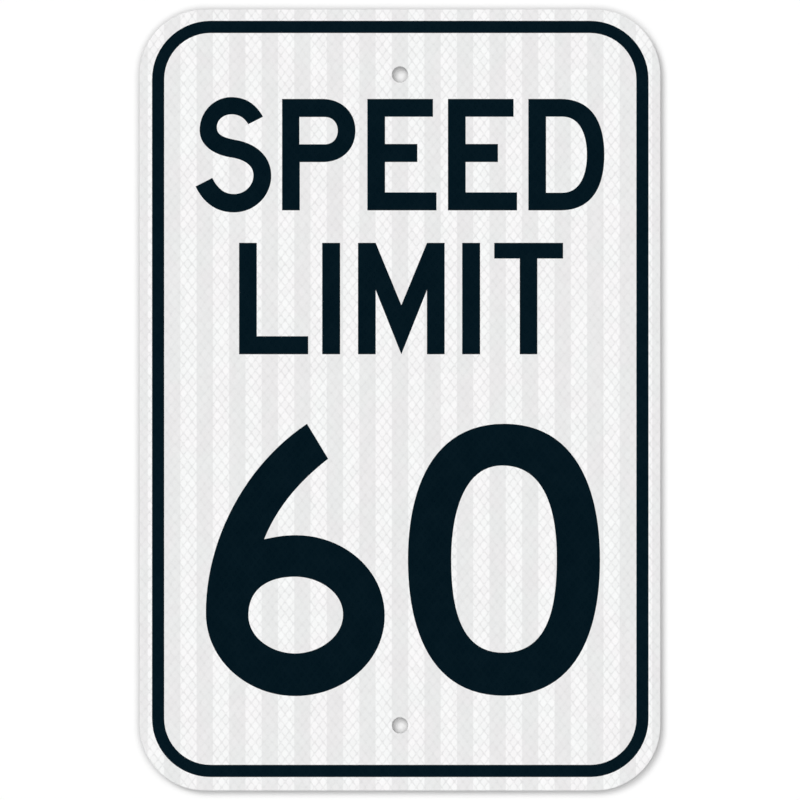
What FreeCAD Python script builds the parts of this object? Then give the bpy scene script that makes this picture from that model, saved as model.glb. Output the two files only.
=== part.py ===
import FreeCAD, Part
import math
import os

# Flat road sign for a post: an aluminium blank, the reflective sheeting bonded to its face and the
# border printed on the sheeting. Sizes are in millimetres.
#
# X runs along the width and +Z is up. The face looks along -Y and the back lies on the plane y = 0,
# against the post. The origin is on the back, midway between the two bolt holes.

# Blank
sign_width = 304.8
sign_height = 457.2
corner_radius = 38.1
blank_thickness = 1.6

# Bolt holes, one above the other on the centre line
hole_diameter = 9.525
hole_spacing = 381.0

# Layers on the face
film_thickness = 0.36
ink_thickness = 0.05

# Edges as the punch leaves them. The face is drawn down in a shallow arc that starts roll_width
# from the cut and has sunk the metal by roll_depth where it meets the cut. The back is deburred.
roll_width = 0.6
roll_depth = 0.15
back_edge_break = 0.2

# Printed border, a line set in from the blank's edges, with rounder corners than a line that kept its
# distance from the edge would have. The radius is the outer one. The print sits a little off the
# blank's middle.
border_side_margin = 7.1
border_end_margin = 7.28
border_corner_radius = 34.25
border_line_width = 7.1
print_shift_right = 0.15
print_shift_up = 0.63

# Planes and radii that follow from the sizes above
back_y = 0.0
blank_front_y = back_y - blank_thickness
film_front_y = blank_front_y - film_thickness
ink_front_y = film_front_y - ink_thickness
metal_roll_radius = (roll_width ** 2 + roll_depth ** 2) / (2 * roll_depth)
film_roll_radius = metal_roll_radius + film_thickness

on_plane = 0.001


def corner_arc(centre, radius, side_x, side_z):
    """A quarter circle round centre, in the corner that side_x and side_z point to."""
    start = centre + FreeCAD.Vector(side_x * radius, 0, 0)
    middle = centre + FreeCAD.Vector(side_x, 0, side_z) * (radius * math.sqrt(0.5))
    end = centre + FreeCAD.Vector(0, 0, side_z * radius)
    return Part.Arc(start, middle, end).toShape()


def rounded_outline(width, height, radius, y):
    """The closed wire of a rectangle with round corners, in the plane at y."""
    reach_x = width / 2 - radius
    reach_z = height / 2 - radius
    edges = []
    for side in (-1, 1):
        edges.append(Part.makeLine((-reach_x, y, side * height / 2), (reach_x, y, side * height / 2)))
        edges.append(Part.makeLine((side * width / 2, y, -reach_z), (side * width / 2, y, reach_z)))
        for side_z in (-1, 1):
            centre = FreeCAD.Vector(side * reach_x, y, side_z * reach_z)
            edges.append(corner_arc(centre, radius, side, side_z))
    return Part.Wire(Part.sortEdges(edges)[0])


def rounded_plate(width, height, radius, plate_front_y, plate_back_y):
    """A flat plate with round corners, centred on the Y axis."""
    face = Part.Face(rounded_outline(width, height, radius, plate_front_y))
    return face.extrude(FreeCAD.Vector(0, plate_back_y - plate_front_y, 0))


def cut_bolt_holes(plate, radius):
    """Cut a round hole of this radius through the plate on each bolt's axis."""
    box = plate.BoundBox
    for side in (-1, 1):
        start = FreeCAD.Vector(0, box.YMin, side * hole_spacing / 2)
        plate = plate.cut(Part.makeCylinder(radius, box.YLength, start, FreeCAD.Vector(0, 1, 0)))
    return plate


def rims(shape, y):
    """The edges that lie in the plane at y: the outline's and both holes'."""
    return [edge for edge in shape.Edges
            if edge.BoundBox.YLength < on_plane and abs(edge.BoundBox.Center.y - y) < on_plane]


def punched_sheet(front_y, roll_radius):
    """The sheet from front_y to the back, its face drawn down at every rim by the punch.

    The stock reaches past each cut, so that its rims take the whole round of the roll. Cutting it
    at the real outline and holes then leaves the shallow start of that round.
    """
    overhang = roll_radius - roll_width
    stock = rounded_plate(sign_width + 2 * overhang, sign_height + 2 * overhang, corner_radius + overhang,
                          front_y, back_y + roll_radius)
    stock = cut_bolt_holes(stock, hole_diameter / 2 - overhang)
    stock = stock.makeFillet(roll_radius, rims(stock, front_y))
    punch = cut_bolt_holes(rounded_plate(sign_width, sign_height, corner_radius, front_y, back_y),
                           hole_diameter / 2)
    return stock.common(punch)


def make_blank(sheet):
    """The aluminium blank, with the burr taken off its back rims."""
    return sheet.makeChamfer(back_edge_break, rims(sheet, back_y))


def make_sheeting(sheet):
    """The sheeting: what the punched laminate holds in front of the metal, at one thickness all over."""
    return punched_sheet(film_front_y, film_roll_radius).cut(sheet)


def make_border_print():
    """The border line, a flat ring of ink of one width all round."""
    border_width = sign_width - 2 * border_side_margin
    border_height = sign_height - 2 * border_end_margin
    plates = []
    for inset in (0, border_line_width):
        plates.append(rounded_plate(border_width - 2 * inset, border_height - 2 * inset,
                                    border_corner_radius - inset, ink_front_y, film_front_y))
    line = plates[0].cut(plates[1])
    line.translate(FreeCAD.Vector(print_shift_right, 0, print_shift_up))
    return line


def main():
    sheet = punched_sheet(blank_front_y, metal_roll_radius)
    nodes = {
        "sign_blank": make_blank(sheet),
        "reflective_sheeting": make_sheeting(sheet),
        "border_print": make_border_print(),
    }
    os.makedirs("parts", exist_ok=True)
    for name, shape in nodes.items():
        shape.exportStep("parts/" + name + ".step")


main()
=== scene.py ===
import bpy
import bmesh
import math
from mathutils import Matrix, Vector


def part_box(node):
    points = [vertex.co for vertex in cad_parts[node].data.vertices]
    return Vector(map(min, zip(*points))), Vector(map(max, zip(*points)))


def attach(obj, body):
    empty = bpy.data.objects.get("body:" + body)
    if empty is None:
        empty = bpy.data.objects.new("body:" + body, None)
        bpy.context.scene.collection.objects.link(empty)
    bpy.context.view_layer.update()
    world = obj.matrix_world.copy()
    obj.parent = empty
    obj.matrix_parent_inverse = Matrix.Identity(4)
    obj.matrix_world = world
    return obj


# Flat road sign for a post. The blank, the sheeting and the printed border come from the frame. This
# script adds the printed legend, the finish of every surface, and the studio. The face looks along -Y.
# Lengths are in metres, but the legend is drawn in millimetres. Tones are shares of white.

mm = 0.001

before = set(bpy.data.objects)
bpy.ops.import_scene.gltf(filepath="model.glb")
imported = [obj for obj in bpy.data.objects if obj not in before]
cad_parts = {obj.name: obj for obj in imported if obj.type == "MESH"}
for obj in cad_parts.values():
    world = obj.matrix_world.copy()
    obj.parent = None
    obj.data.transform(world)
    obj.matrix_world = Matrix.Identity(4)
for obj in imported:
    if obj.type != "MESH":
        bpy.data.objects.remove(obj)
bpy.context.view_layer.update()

# Places that follow from the frame
border_low, border_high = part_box("border_print")
film_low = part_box("reflective_sheeting")[0]
blank_low, blank_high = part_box("sign_blank")
print_centre = (border_low + border_high) / 2
ink_front = border_low.y
film_front = film_low.y
metal_front = blank_low.y
sign_back = blank_high.y
sign_bottom = blank_low.z

# Legend, in millimetres from the print's centre: each row's baseline, and its characters' left edges
legend_rows = [
    (110.4, [("S", -119.63), ("P", -69.18), ("E", -19.26), ("E", 27.92), ("D", 74.99)]),
    (26.16, [("L", -94.35), ("I", -45.7), ("M", -24.73), ("I", 36.24), ("T", 55.0)]),
    (-173.82, [("6", -113.79), ("0", 4.5)]),
]

# Letters, in millimetres
letter_height = 65.2
stem_width = 10.35

# Smoothness of the drawn curves, and how near points are joined
curve_steps = 24
weld_distance = 0.001 * mm

# Sheeting: bands that run up the sign, and a grid of diamonds whose edges are sealed into the film
band_period = 19.05 * mm
band_sharpness = 6.0
diamond_width = 4.956 * mm
diamond_height = 6.591 * mm
seal_depth = 0.012 * mm

# Seals in the light and in the dark bands. The shifts are those of the rising and the falling lines, in
# cells. The power says how round the diamonds are: 2 makes ellipses of them, and more gives them sharper
# corners. The edge is where a seal starts and where it is full, as shares of the way out from a diamond's
# middle. The pressing is how unevenly seals are pressed in, as shares of their usual darkness.
rising_seal_shift = 0.329
falling_seal_shift = 0.524
light_seals = {"power": 3.3, "edge": (0.65, 1.05)}
dark_seals = {"power": 2.0, "edge": (0.45, 1.6)}
pressing_range = (0.6, 1.4)
pressing_size = 1.3 * mm

# Film: the tone of a clean diamond in each kind of band, how much darker its seals are and how far
# diamonds differ, and the slight tints and the grain of the whole
light_film = {"clean_tone": 0.947, "seal_dip": 0.107, "variation": 0.055}
dark_film = {"clean_tone": 0.839, "seal_dip": 0.067, "variation": 0.03}
cool_tint = (0.99, 1.0, 0.998, 1.0)
warm_tint = (1.0, 0.989, 0.995, 1.0)
tint_size = 28 * mm
film_grain_size = 0.35 * mm
film_roughness = (0.26, 0.34)
film_seal_roughness = 0.12
film_grain_share = 0.15

# Ink
deep_ink = (0.0003, 0.0065, 0.0116, 1.0)
thin_ink = (0.0008, 0.0077, 0.0132, 1.0)
ink_cloud_size = 9 * mm
ink_grain_size = 0.3 * mm
ink_roughness = (0.26, 0.32)
ink_seal_roughness = 0.06
ink_seal_depth = 0.004 * mm
ink_grain_share = 0.3
ink_gloss = 0.15

# Aluminium: its tint, and the finish of its flat back with the marks on it. Stretches are along X, Y and Z.
# A contrast is how much a mark adds to the tone where it is strongest.
metal_tint = (0.98, 0.99, 1.0, 1.0)
back_tone = (0.43, 0.5)
back_roughness = (0.26, 0.38)
rolling_line_width = 0.35 * mm
rolling_line_stretch = (1, 1, 90)
rolling_line_depth = 0.01 * mm
rolling_line_contrast = 0.1
rolling_line_roughness = 0.12
streak_width = 5 * mm
streak_stretch = (1, 1, 40)
streak_depth = 0.12 * mm
scratch_width = 1.1 * mm
scratch_stretch = (1, 1, 14)
scratch_level = (0.7, 0.78)
scratch_contrast = 0.07
metal_cloud_size = 55 * mm
metal_cloud_contrast = 0.1

# Cut edge: how far the surface faces along Y on it and on the flat, how far into the metal its burnished
# zone fades, its two zones, and its marks
facing_along_y = (0.3, 0.5)
burnish_end = (0.45 * mm, 0.75 * mm)
burnished_tone = 0.5
torn_tone = 0.34
burnished_roughness = 0.24
torn_roughness = 0.55
score_width = 0.12 * mm
score_stretch = (1, 12, 1)
score_contrast = 0.16
tear_width = 0.18 * mm
tear_stretch = (1, 2, 1)

# Camera: straight in front, a long lens. The sensor and the lens are in the camera's own millimetres.
picture_width = 468.3 * mm
camera_lens = 300
camera_sensor = 36

# Lamps. The strengths, each by the cosine of its slant, add up to nearly pi, which lights a white wall to
# just white. The wide one comes from the front, and the narrow one from above at the left.
front_strength = 2.5
front_spread = math.radians(94)
front_towards = Vector((0.05, 1, -0.05))
key_strength = 0.82
key_spread = math.radians(28)
key_towards = Vector((0.62, 1, -0.62))
fill_strength = 0.02

# World: how far from straight behind the camera its dark side fades, and how gloss shows the rest darken
# to the right and downwards
dark_side_edge = (math.radians(75), math.radians(50))
dimming_to_right = 0.2
dimming_downwards = 0.4
dimming_ahead = 0.1

# Stage: half its planes' sizes, how far they are from the sign, and how they look
backdrop_reach = 1.5
backdrop_gap = 3.0 * mm
backdrop_tone = 1.0
floor_reach = 8
floor_drop = 32 * mm
floor_tone = 0.7
floor_glow = 0.77


# Outlines

RIGHT, UP, LEFT, DOWN = 0, 90, 180, 270
ROUND = 0.39


def heading_vector(degrees):
    angle = math.radians(degrees)
    return Vector((math.cos(angle), math.sin(angle)))


class Pen:
    """Draws one closed outline in the plane of the face, in millimetres, x to the right and z up.

    Headings are in degrees, 0 to the right and 90 up. A curve leaves along the last heading unless it is
    told another. Its fullness is the length of its two handles as a share of its chord, and ROUND is a
    quarter of a circle. The last stroke ends where the first began.
    """

    def __init__(self, x, z):
        self.place = Vector((x, z))
        self.heading = None
        self.strokes = []

    def line(self, x, z):
        end = Vector((x, z))
        self.strokes.append((self.place, None, None))
        self.heading = math.degrees(math.atan2(z - self.place.y, x - self.place.x))
        self.place = end

    def lines(self, *corners):
        for x, z in corners:
            self.line(x, z)

    def curve(self, x, z, arrive, leave=None, fullness=ROUND):
        end = Vector((x, z))
        reach = (end - self.place).length * fullness
        start_handle = self.place + heading_vector(self.heading if leave is None else leave) * reach
        self.strokes.append((self.place, start_handle, end - heading_vector(arrive) * reach))
        self.heading = arrive
        self.place = end


def polygon(*corners):
    pen = Pen(*corners[0])
    pen.lines(*corners[1:], corners[0])
    return pen


def bowl(left, straight, right, top, bottom, fullness):
    """The outline of a bowl: flat at the left, round at the right."""
    pen = Pen(left, top)
    pen.line(straight, top)
    pen.curve(right, (top + bottom) / 2, arrive=DOWN, fullness=fullness)
    pen.curve(straight, bottom, arrive=LEFT, fullness=fullness)
    pen.lines((left, bottom), (left, top))
    return pen


def draw_S():
    pen = Pen(39.29, 54.78)
    pen.curve(20.71, 66.27, arrive=LEFT, leave=119.2)
    pen.curve(2.19, 47.01, arrive=DOWN)
    pen.curve(20.79, 30.92, arrive=-8.3)
    pen.curve(33.66, 20.53, arrive=DOWN)
    pen.curve(22.29, 9.52, arrive=LEFT)
    pen.curve(9.58, 18.98, arrive=117.1)
    pen.line(-0.21, 13.99)
    pen.curve(22.3, -1.2, arrive=RIGHT, leave=-64.3)
    pen.curve(44.1, 20.26, arrive=UP)
    pen.curve(25.88, 40.65, arrive=166.7)
    pen.curve(12.27, 48.67, arrive=UP)
    pen.curve(20.8, 56.19, arrive=RIGHT)
    pen.curve(30.63, 50.4, arrive=-59.5)
    pen.line(39.29, 54.78)
    return [pen]


def draw_P():
    straight, bowl_bottom = 23.7, 28.25
    outer = Pen(0, letter_height)
    outer.line(straight, letter_height)
    outer.curve(42.92, 46.72, arrive=DOWN, fullness=0.408)
    outer.curve(straight, bowl_bottom, arrive=LEFT, fullness=0.42)
    outer.lines((stem_width, bowl_bottom), (stem_width, 0), (0, 0), (0, letter_height))
    return [outer, bowl(10.12, 24.95, 32.58, 54.65, 38.64, fullness=0.419)]


def draw_D():
    return [bowl(0, 18.85, 44.47, letter_height, 0, fullness=0.448),
            bowl(stem_width, 19.8, 34.26, 54.85, 10.29, fullness=0.41)]


def draw_E():
    width, foot_top = 40.46, 10.5
    middle_width, middle_bottom, middle_top = 29.26, 28.29, 38.83
    top_width, top_bar_bottom = 38.4, 54.8
    return [polygon((0, 0), (width, 0), (width, foot_top), (stem_width, foot_top),
                    (stem_width, middle_bottom), (middle_width, middle_bottom),
                    (middle_width, middle_top), (stem_width, middle_top),
                    (stem_width, top_bar_bottom), (top_width, top_bar_bottom),
                    (top_width, letter_height), (0, letter_height))]


def draw_L():
    width, foot_top = 40.46, 10.54
    return [polygon((0, 0), (width, 0), (width, foot_top), (stem_width, foot_top),
                    (stem_width, letter_height), (0, letter_height))]


def draw_I():
    width = 10.5
    return [polygon((0, 0), (width, 0), (width, letter_height), (0, letter_height))]


def draw_M():
    width, middle = 50.71, 25.36
    notch, crotch = 28.7, 37.66
    return [polygon((0, 0), (stem_width, 0), (stem_width, crotch), (middle, 0),
                    (width - stem_width, crotch), (width - stem_width, 0), (width, 0),
                    (width, letter_height), (width - stem_width, letter_height), (middle, notch),
                    (stem_width, letter_height), (0, letter_height))]


def draw_T():
    width, bar_bottom = 40.3, 56.03
    stem_left, stem_right = 14.95, 25.22
    return [polygon((stem_left, 0), (stem_right, 0), (stem_right, bar_bottom), (width, bar_bottom),
                    (width, letter_height), (0, letter_height), (0, bar_bottom), (stem_left, bar_bottom))]


def draw_6():
    outer = Pen(59.21, 159.28)
    outer.curve(-0.02, 48.61, arrive=DOWN, leave=-146.4, fullness=0.343)
    outer.curve(52.35, -0.1, arrive=RIGHT)
    outer.curve(104.69, 46.9, arrive=UP)
    outer.curve(52.9, 94.05, arrive=LEFT)
    outer.curve(34.14, 91.71, arrive=191.7)
    outer.curve(71.59, 138.81, arrive=38, leave=68.3, fullness=0.343)
    outer.line(59.21, 159.28)
    counter = Pen(52.18, 69.76)
    counter.curve(80.28, 47.59, arrive=DOWN, leave=RIGHT, fullness=0.377)
    counter.curve(52.24, 24.83, arrive=LEFT, fullness=0.373)
    counter.curve(24.9, 47.22, arrive=UP, fullness=0.379)
    counter.curve(52.18, 69.76, arrive=RIGHT, fullness=0.44)
    return [outer, counter]


def draw_0():
    outer = Pen(56.34, 159.27)
    outer.curve(112.42, 79.73, arrive=DOWN, leave=RIGHT, fullness=0.43)
    outer.curve(56.31, 0.07, arrive=LEFT, fullness=0.435)
    outer.curve(-0.01, 79.65, arrive=UP, fullness=0.433)
    outer.curve(56.34, 159.27, arrive=RIGHT, fullness=0.429)
    counter = Pen(55.27, 134.85)
    counter.curve(87.12, 81.12, arrive=DOWN, leave=RIGHT, fullness=0.411)
    counter.curve(55.76, 25.27, arrive=LEFT, fullness=0.427)
    counter.curve(25.34, 80.06, arrive=UP, fullness=0.418)
    counter.curve(55.27, 134.85, arrive=RIGHT, fullness=0.382)
    return [outer, counter]


drawings = {"S": draw_S, "P": draw_P, "E": draw_E, "D": draw_D, "L": draw_L, "I": draw_I, "M": draw_M,
            "T": draw_T, "6": draw_6, "0": draw_0}


# Legend

def add_spline(curve, pen):
    """Adds a pen's outline to a curve, as one closed spline."""
    spline = curve.splines.new("BEZIER")
    spline.bezier_points.add(len(pen.strokes) - 1)
    spline.use_cyclic_u = True
    for knot in spline.bezier_points:
        knot.handle_left_type = knot.handle_right_type = "FREE"
    for index, (start, start_handle, end_handle) in enumerate(pen.strokes):
        knot = spline.bezier_points[index]
        following = spline.bezier_points[(index + 1) % len(pen.strokes)]
        knot.co = (start * mm).to_3d()
        if start_handle is None:
            knot.handle_right_type = "VECTOR"
            following.handle_left_type = "VECTOR"
        else:
            knot.handle_right = (start_handle * mm).to_3d()
            following.handle_left = (end_handle * mm).to_3d()


def flat_mesh(name, outlines, thickness):
    """A thin closed mesh in X and Y with its middle at z = 0. Outlines within others are openings."""
    curve = bpy.data.curves.new(name, "CURVE")
    curve.dimensions = "2D"
    curve.fill_mode = "BOTH"
    curve.extrude = thickness / 2
    curve.resolution_u = curve_steps
    for pen in outlines:
        add_spline(curve, pen)
    holder = bpy.data.objects.new(name, curve)
    mesh = bpy.data.meshes.new_from_object(holder)
    bpy.data.objects.remove(holder)
    bpy.data.curves.remove(curve)
    mesh.name = name
    shape = bmesh.new()
    shape.from_mesh(mesh)
    bmesh.ops.remove_doubles(shape, verts=shape.verts, dist=weld_distance)
    bmesh.ops.recalc_face_normals(shape, faces=shape.faces)
    shape.to_mesh(mesh)
    shape.free()
    return mesh


def print_character(name, drawing, left, baseline, ink):
    """One printed letter or figure on the film, in ink as thick as the border's."""
    mesh = flat_mesh(name, drawing(), film_front - ink_front)
    place = Vector((print_centre.x + left * mm, (film_front + ink_front) / 2, print_centre.z + baseline * mm))
    mesh.transform(Matrix.Translation(place) @ Matrix.Rotation(math.radians(90), 4, "X"))
    mesh.materials.clear()
    mesh.materials.append(ink)
    piece = bpy.data.objects.new(name, mesh)
    bpy.context.scene.collection.objects.link(piece)
    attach(piece, "root")


def print_legend(ink):
    for row, (baseline, characters) in enumerate(legend_rows, start=1):
        for column, (character, left) in enumerate(characters, start=1):
            print_character(f"legend_{row}_{column}_{character}", drawings[character], left, baseline, ink)


# Materials

class Nodes:
    """A node tree. Its methods add a node, feed it with numbers or sockets and return what it puts out."""

    def __init__(self, tree):
        self.tree = tree

    def add(self, kind, **settings):
        node = self.tree.nodes.new(kind)
        for name, value in settings.items():
            setattr(node, name, value)
        return node

    def feed(self, socket, value):
        if isinstance(value, bpy.types.NodeSocket):
            self.tree.links.new(value, socket)
        else:
            socket.default_value = value

    def split(self, vector):
        node = self.add("ShaderNodeSeparateXYZ")
        self.feed(node.inputs[0], vector)
        return node.outputs

    def math(self, operation, *values, clamp=False):
        node = self.add("ShaderNodeMath", operation=operation, use_clamp=clamp)
        for socket, value in zip(node.inputs, values):
            self.feed(socket, value)
        return node.outputs[0]

    def between(self, value, low, high, start=0.0, end=1.0, kind="SMOOTHSTEP"):
        """start where value is low, end where it is high, and a smooth change between them."""
        node = self.add("ShaderNodeMapRange", interpolation_type=kind)
        for socket, number in zip(node.inputs, (value, low, high, start, end)):
            self.feed(socket, number)
        return node.outputs[0]

    def mix(self, share, start, end):
        """start where share is 0, end where it is 1, and an even change between them."""
        return self.between(share, 0.0, 1.0, start, end, kind="LINEAR")


class Shader(Nodes):
    """One surface material. It is laid out in the frame's coordinates, which every piece has as its own."""

    def __init__(self, name):
        self.material = bpy.data.materials.new(name)
        self.material.use_nodes = True
        super().__init__(self.material.node_tree)
        self.surface = self.tree.nodes["Principled BSDF"]
        self.place = self.add("ShaderNodeTexCoord").outputs["Object"]
        self.x, self.y, self.z = self.split(self.place)

    def noise(self, size, detail=2.0, roughness=0.5, stretch=(1, 1, 1)):
        """Noise from 0 to 1 whose patches are about this size, drawn out along each axis by stretch."""
        scaled = self.add("ShaderNodeVectorMath", operation="MULTIPLY")
        self.feed(scaled.inputs[0], self.place)
        self.feed(scaled.inputs[1], [1 / (size * axis) for axis in stretch])
        node = self.add("ShaderNodeTexNoise")
        self.feed(node.inputs["Vector"], scaled.outputs[0])
        self.feed(node.inputs["Scale"], 1)
        self.feed(node.inputs["Detail"], detail)
        self.feed(node.inputs["Roughness"], roughness)
        return node.outputs["Fac"]

    def vary(self, noise, start=0.0, end=1.0, spread=0.2):
        """From start to end as noise goes from spread below a half to spread above it."""
        return self.between(noise, 0.5 - spread, 0.5 + spread, start, end)

    def grey(self, value):
        node = self.add("ShaderNodeCombineColor")
        for socket in node.inputs:
            self.feed(socket, value)
        return node.outputs[0]

    def blend(self, share, first, second, kind="MIX"):
        node = self.add("ShaderNodeMix", data_type="RGBA", blend_type=kind)
        for socket, value in zip((node.inputs[0], node.inputs[6], node.inputs[7]), (share, first, second)):
            self.feed(socket, value)
        return node.outputs[2]

    def bump(self, height, depth, normal=None, sunk=False):
        """The surface's normal with a relief this deep, where height goes from 0 to 1. It may be sunk."""
        node = self.add("ShaderNodeBump", invert=sunk)
        self.feed(node.inputs["Distance"], depth)
        self.feed(node.inputs["Height"], height)
        if normal is not None:
            self.feed(node.inputs["Normal"], normal)
        return node.outputs[0]

    def set(self, **values):
        """Feeds the surface's own sockets, named with _ for each space."""
        for name, value in values.items():
            self.feed(self.surface.inputs[name.replace("_", " ")], value)


def seal_steps(shader):
    """The place counted in cells across each of the two families of seals, which lie at whole numbers."""
    across = shader.math("MULTIPLY", shader.x, 1 / diamond_width)
    steps = []
    for slope, shift in ((-1, rising_seal_shift), (1, falling_seal_shift)):
        along = shader.math("MULTIPLY_ADD", shader.z, slope / diamond_height, across)
        steps.append(shader.math("SUBTRACT", along, shift))
    return steps


def seal_mask(shader, power, edge):
    """1 where the film's seals cross, a little less along them, and 0 inside its diamonds."""
    reach = 0
    for step in seal_steps(shader):
        from_middle = shader.math("ABSOLUTE", shader.math("MULTIPLY_ADD", shader.math("FRACT", step), 2, -1))
        reach = shader.math("ADD", shader.math("POWER", from_middle, power), reach)
    return shader.between(shader.math("POWER", reach, 1 / power), *edge)


def diamond_lot(shader):
    """A number from 0 to 1 for each diamond, drawn by lot."""
    cell = shader.add("ShaderNodeCombineXYZ")
    for socket, step in zip(cell.inputs, seal_steps(shader)):
        shader.feed(socket, shader.math("FLOOR", step))
    lot = shader.add("ShaderNodeTexWhiteNoise", noise_dimensions="2D")
    shader.feed(lot.inputs["Vector"], cell.outputs[0])
    return lot.outputs["Value"]


def dark_bands(shader):
    """1 in the sheeting's darker bands and 0 in its lighter ones. A dark band runs up the middle."""
    wave = shader.math("COSINE", shader.math("MULTIPLY", shader.x, 2 * math.pi / band_period))
    return shader.math("MULTIPLY_ADD", wave, band_sharpness, 0.5, clamp=True)


def film_tone(shader, light_mask):
    """The tone of each kind of band, with its seals. light_mask is that of the lighter bands' seals."""
    lot = shader.math("SUBTRACT", diamond_lot(shader), 0.5)
    pressing = shader.vary(shader.noise(pressing_size, detail=1.0), *pressing_range, spread=0.15)

    def band_tone(mask, clean_tone, seal_dip, variation):
        clean = shader.math("MULTIPLY_ADD", lot, variation, clean_tone)
        return shader.math("MULTIPLY_ADD", shader.math("MULTIPLY", mask, pressing), -seal_dip, clean)

    light_tone = band_tone(light_mask, **light_film)
    dark_tone = band_tone(seal_mask(shader, **dark_seals), **dark_film)
    return shader.mix(dark_bands(shader), light_tone, dark_tone)


def make_sheeting():
    """White prismatic sheeting: faint bands, every other one darker, and a fine grid of diamonds."""
    shader = Shader("white_sheeting")
    seals = seal_mask(shader, **light_seals)
    tint = shader.blend(shader.vary(shader.noise(tint_size, detail=3.0), spread=0.15), cool_tint, warm_tint)
    grain = shader.noise(film_grain_size)
    roughness = shader.vary(grain, *film_roughness)
    relief = shader.math("MULTIPLY_ADD", grain, film_grain_share, seals)
    shader.set(
        Base_Color=shader.blend(1.0, shader.grey(film_tone(shader, seals)), tint, kind="MULTIPLY"),
        Roughness=shader.math("MULTIPLY_ADD", seals, film_seal_roughness, roughness),
        Normal=shader.bump(relief, seal_depth, sunk=True),
    )
    return shader.material


def make_ink():
    """Blue-black screen ink. The film's seals show faintly in its gloss."""
    shader = Shader("dark_ink")
    seals = seal_mask(shader, **light_seals)
    cloud = shader.noise(ink_cloud_size, detail=3.0)
    grain = shader.noise(ink_grain_size)
    roughness = shader.vary(grain, *ink_roughness)
    relief = shader.math("MULTIPLY_ADD", grain, ink_grain_share, seals)
    shader.set(
        Base_Color=shader.blend(shader.vary(cloud), deep_ink, thin_ink),
        Roughness=shader.math("MULTIPLY_ADD", seals, ink_seal_roughness, roughness),
        Normal=shader.bump(relief, ink_seal_depth, sunk=True),
        Specular_IOR_Level=ink_gloss,
    )
    return shader.material


def mill_finish(shader, lines, streaks):
    """The tone and the roughness of rolled metal: lines and streaks up the sheet, scratches and clouds."""
    cloud = shader.noise(metal_cloud_size, detail=4.0)
    scratches = shader.noise(scratch_width, detail=1.0, stretch=scratch_stretch)
    scratches = shader.between(scratches, *scratch_level)
    tone = shader.vary(streaks, *back_tone, spread=0.25)
    for marks, contrast in ((lines, rolling_line_contrast), (cloud, metal_cloud_contrast),
                            (scratches, scratch_contrast)):
        tone = shader.math("MULTIPLY_ADD", marks, contrast, tone)
    roughness = shader.vary(cloud, *back_roughness)
    return tone, shader.math("MULTIPLY_ADD", lines, rolling_line_roughness, roughness)


def cut_finish(shader):
    """The tone, the roughness and the height of the cut metal: burnished from the face, then torn."""
    torn = shader.between(shader.math("SUBTRACT", shader.y, metal_front), *burnish_end)
    scores = shader.noise(score_width, detail=3.0, roughness=0.6, stretch=score_stretch)
    tears = shader.noise(tear_width, detail=4.0, roughness=0.7, stretch=tear_stretch)
    tone = shader.math("MULTIPLY_ADD", scores, score_contrast, shader.mix(torn, burnished_tone, torn_tone))
    roughness = shader.mix(torn, burnished_roughness, torn_roughness)
    return tone, roughness, shader.math("MULTIPLY", tears, torn)


def make_aluminium():
    """Bare aluminium, as it was rolled on the flat and as it was cut at the edges."""
    shader = Shader("bare_aluminium")
    lines = shader.noise(rolling_line_width, detail=4.0, roughness=0.65, stretch=rolling_line_stretch)
    streaks = shader.noise(streak_width, detail=3.0, stretch=streak_stretch)
    flat_tone, flat_roughness = mill_finish(shader, lines, streaks)
    cut_tone, cut_roughness, cut_height = cut_finish(shader)
    normal = shader.split(shader.add("ShaderNodeTexCoord").outputs["Normal"])
    on_flat = shader.between(shader.math("ABSOLUTE", normal["Y"]), *facing_along_y)
    tone = shader.blend(on_flat, shader.grey(cut_tone), shader.grey(flat_tone))
    height = shader.blend(on_flat, shader.grey(cut_height), shader.grey(lines))
    shader.set(
        Base_Color=shader.blend(1.0, tone, metal_tint, kind="MULTIPLY"),
        Roughness=shader.mix(on_flat, cut_roughness, flat_roughness),
        Normal=shader.bump(height, rolling_line_depth, normal=shader.bump(streaks, streak_depth)),
        Metallic=1.0,
    )
    return shader.material


def paint(node, material):
    """Gives a carried-over CAD node its finish."""
    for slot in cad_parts[node].material_slots:
        slot.material = material


# Studio

def make_camera():
    data = bpy.data.cameras.new("camera")
    data.lens = camera_lens
    data.sensor_width = camera_sensor
    distance = picture_width * camera_lens / camera_sensor
    camera = bpy.data.objects.new("camera", data)
    camera.location = (0, film_front - distance, 0)
    camera.rotation_euler = (math.radians(90), 0, 0)
    bpy.context.scene.collection.objects.link(camera)
    bpy.context.scene.camera = camera


def make_lamp(name, strength, spread, towards):
    """A large soft light, far off. It doesn't show in gloss."""
    data = bpy.data.lights.new(name, "SUN")
    data.energy = strength
    data.angle = spread
    lamp = bpy.data.objects.new(name, data)
    lamp.rotation_euler = towards.to_track_quat("-Z", "Y").to_euler()
    lamp.visible_glossy = False
    bpy.context.scene.collection.objects.link(lamp)


def gloss_darkness(nodes):
    """How dark the studio shows in gloss: its dark side behind the camera, and a slight fall of light."""
    x, y, z = nodes.split(nodes.add("ShaderNodeTexCoord").outputs["Generated"])
    dark_side = nodes.between(y, *(-math.cos(angle) for angle in dark_side_edge))
    dimming = nodes.math("MULTIPLY_ADD", z, -dimming_downwards, dimming_ahead)
    dimming = nodes.math("MAXIMUM", nodes.math("MULTIPLY_ADD", x, dimming_to_right, dimming), 0.0)
    return nodes.math("MINIMUM", nodes.math("ADD", dark_side, dimming), 1.0)


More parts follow.
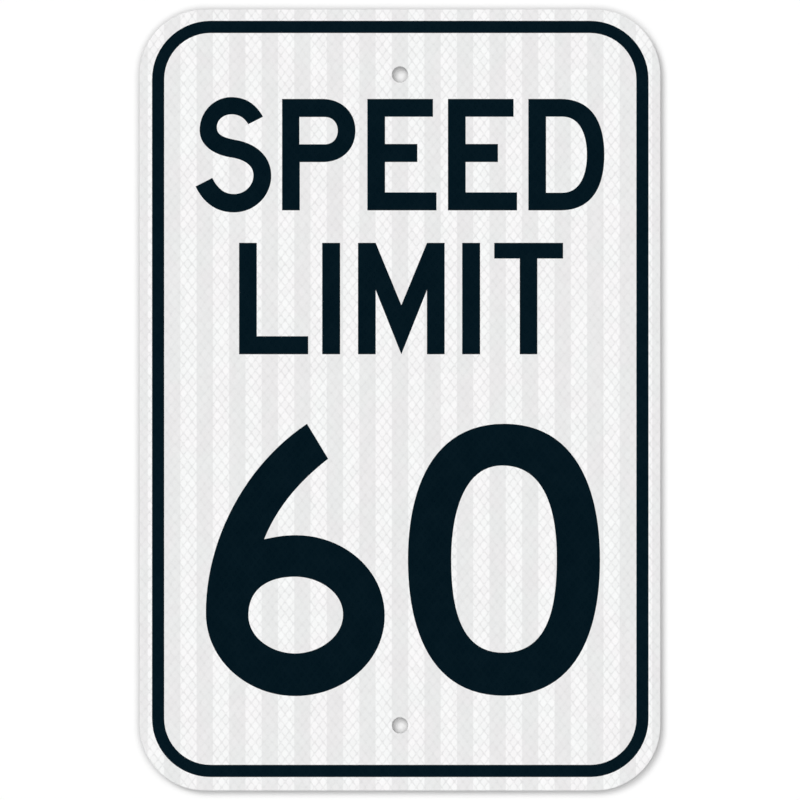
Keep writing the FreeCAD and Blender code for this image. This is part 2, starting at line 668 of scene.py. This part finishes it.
def make_world():
    """White where it is seen, also in gloss, and a faint fill for everything else."""
    world = bpy.data.worlds.new("studio")
    bpy.context.scene.world = world
    world.use_nodes = True
    world.cycles.sampling_method = "NONE"
    nodes = Nodes(world.node_tree)
    path = nodes.add("ShaderNodeLightPath").outputs

    dark = nodes.math("MULTIPLY", gloss_darkness(nodes), path["Is Glossy Ray"])
    shown = nodes.tree.nodes["Background"]
    fill = nodes.add("ShaderNodeBackground")
    for background, strength in ((shown, nodes.math("SUBTRACT", 1.0, dark)), (fill, fill_strength)):
        nodes.feed(background.inputs["Color"], (1, 1, 1, 1))
        nodes.feed(background.inputs["Strength"], strength)

    seen = nodes.math("MAXIMUM", path["Is Camera Ray"], path["Is Glossy Ray"])
    seen = nodes.math("MAXIMUM", seen, path["Is Transmission Ray"])
    seen = nodes.math("MULTIPLY", seen, nodes.math("LESS_THAN", path["Diffuse Depth"], 0.5))
    mix = nodes.add("ShaderNodeMixShader")
    for socket, value in zip(mix.inputs, (seen, fill.outputs[0], shown.outputs[0])):
        nodes.feed(socket, value)
    nodes.feed(nodes.tree.nodes["World Output"].inputs["Surface"], mix.outputs[0])


def make_stage(name, reach, tone, glow=0.0):
    """A square plane of the studio that only the camera sees, from its front, and that takes shadows.

    It lies flat at the origin and faces up. The tone is its colour and the glow is white added to it.
    """
    mesh = bpy.data.meshes.new(name)
    corners = [(x * reach, y * reach, 0) for x, y in ((-1, -1), (1, -1), (1, 1), (-1, 1))]
    mesh.from_pydata(corners, [], [(0, 1, 2, 3)])
    plane = bpy.data.objects.new(name, mesh)
    bpy.context.scene.collection.objects.link(plane)
    plane.visible_diffuse = plane.visible_glossy = plane.visible_transmission = plane.visible_shadow = False

    shader = Shader(name)
    shader.set(Base_Color=(tone, tone, tone, 1), Specular_IOR_Level=0.0, Roughness=1.0)
    shader.set(Emission_Color=(1, 1, 1, 1), Emission_Strength=glow)
    shader.material.cycles.emission_sampling = "NONE"
    from_behind = shader.add("ShaderNodeNewGeometry").outputs["Backfacing"]
    clear = shader.add("ShaderNodeBsdfTransparent").outputs[0]
    mix = shader.add("ShaderNodeMixShader")
    for socket, value in zip(mix.inputs, (from_behind, shader.surface.outputs[0], clear)):
        shader.feed(socket, value)
    shader.feed(shader.tree.nodes["Material Output"].inputs["Surface"], mix.outputs[0])
    mesh.materials.append(shader.material)
    return plane


def make_backdrop():
    """A white wall close behind the sign, for its soft shadow."""
    wall = make_stage("backdrop", backdrop_reach, backdrop_tone)
    wall.location.y = sign_back + backdrop_gap
    wall.rotation_euler.x = math.radians(90)


def make_floor():
    """A plain floor below the sign, nearly as white as the world."""
    floor = make_stage("floor", floor_reach, floor_tone, floor_glow)
    floor.location.z = sign_bottom - floor_drop


ink = make_ink()
paint("sign_blank", make_aluminium())
paint("reflective_sheeting", make_sheeting())
paint("border_print", ink)
print_legend(ink)

make_camera()
make_lamp("front", front_strength, front_spread, front_towards)
make_lamp("key", key_strength, key_spread, key_towards)
make_world()
make_backdrop()
make_floor()

bpy.context.scene.view_settings.view_transform = "Standard"
